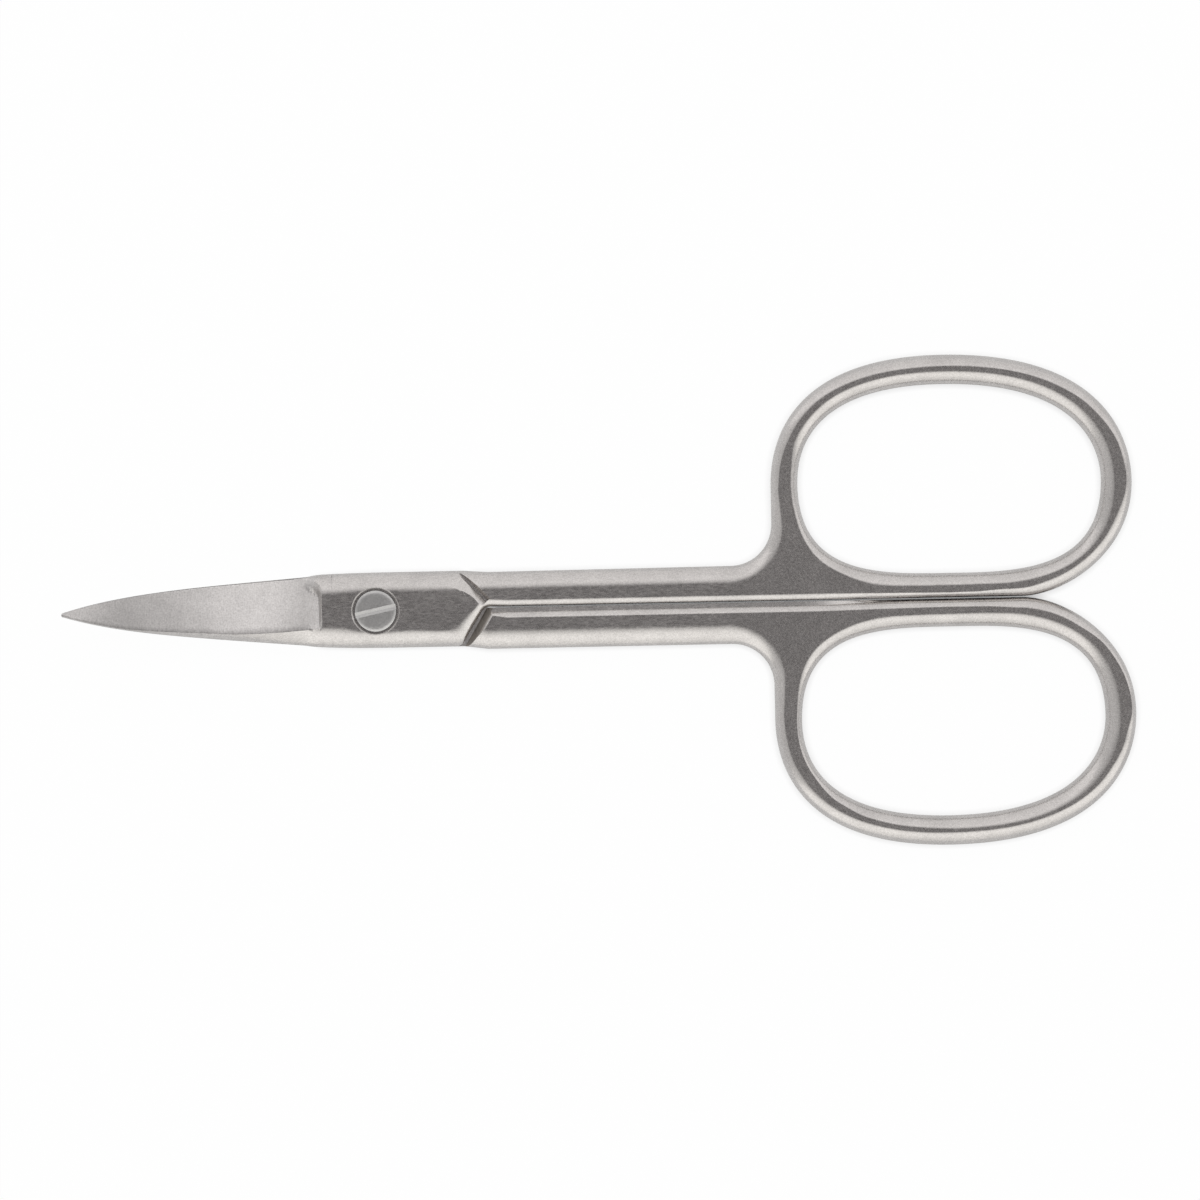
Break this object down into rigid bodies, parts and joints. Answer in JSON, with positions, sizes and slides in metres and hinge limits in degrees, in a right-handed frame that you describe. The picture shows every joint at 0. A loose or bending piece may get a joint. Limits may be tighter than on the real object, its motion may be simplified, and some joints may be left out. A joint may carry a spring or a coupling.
{
  "type": "grooming scissors",
  "caption": "Small satin steel grooming scissors with curved blades, crossed on a slotted screw, and oval finger rings; they open and close on the screw.",
  "frame": {"origin": "on the axis of the pivot screw, in the plane of the flat underside that the closed scissors rest on", "axes": "+X along the closed shanks towards the finger rings, so the blades point along -X; +Y to the front half's finger ring; +Z along the pivot axis, out of the screw's slotted head"},
  "size_m": [0.0899, 0.0412, 0.0048],
  "materials": {
    "satin_steel": "satin",
    "polished_steel": "polished"
  },
  "bodies": {
    "back": {"back_half": "satin_steel", "pivot_screw": "polished_steel"},
    "front": {"front_half": "satin_steel"}
  },
  "joints": [
    {"name": "pivot", "type": "hinge", "parent": "back", "child": "front", "pos_m": [0, 0, 0], "axis": [0, 0, 1], "range_deg": [0, 110]}
  ]
}
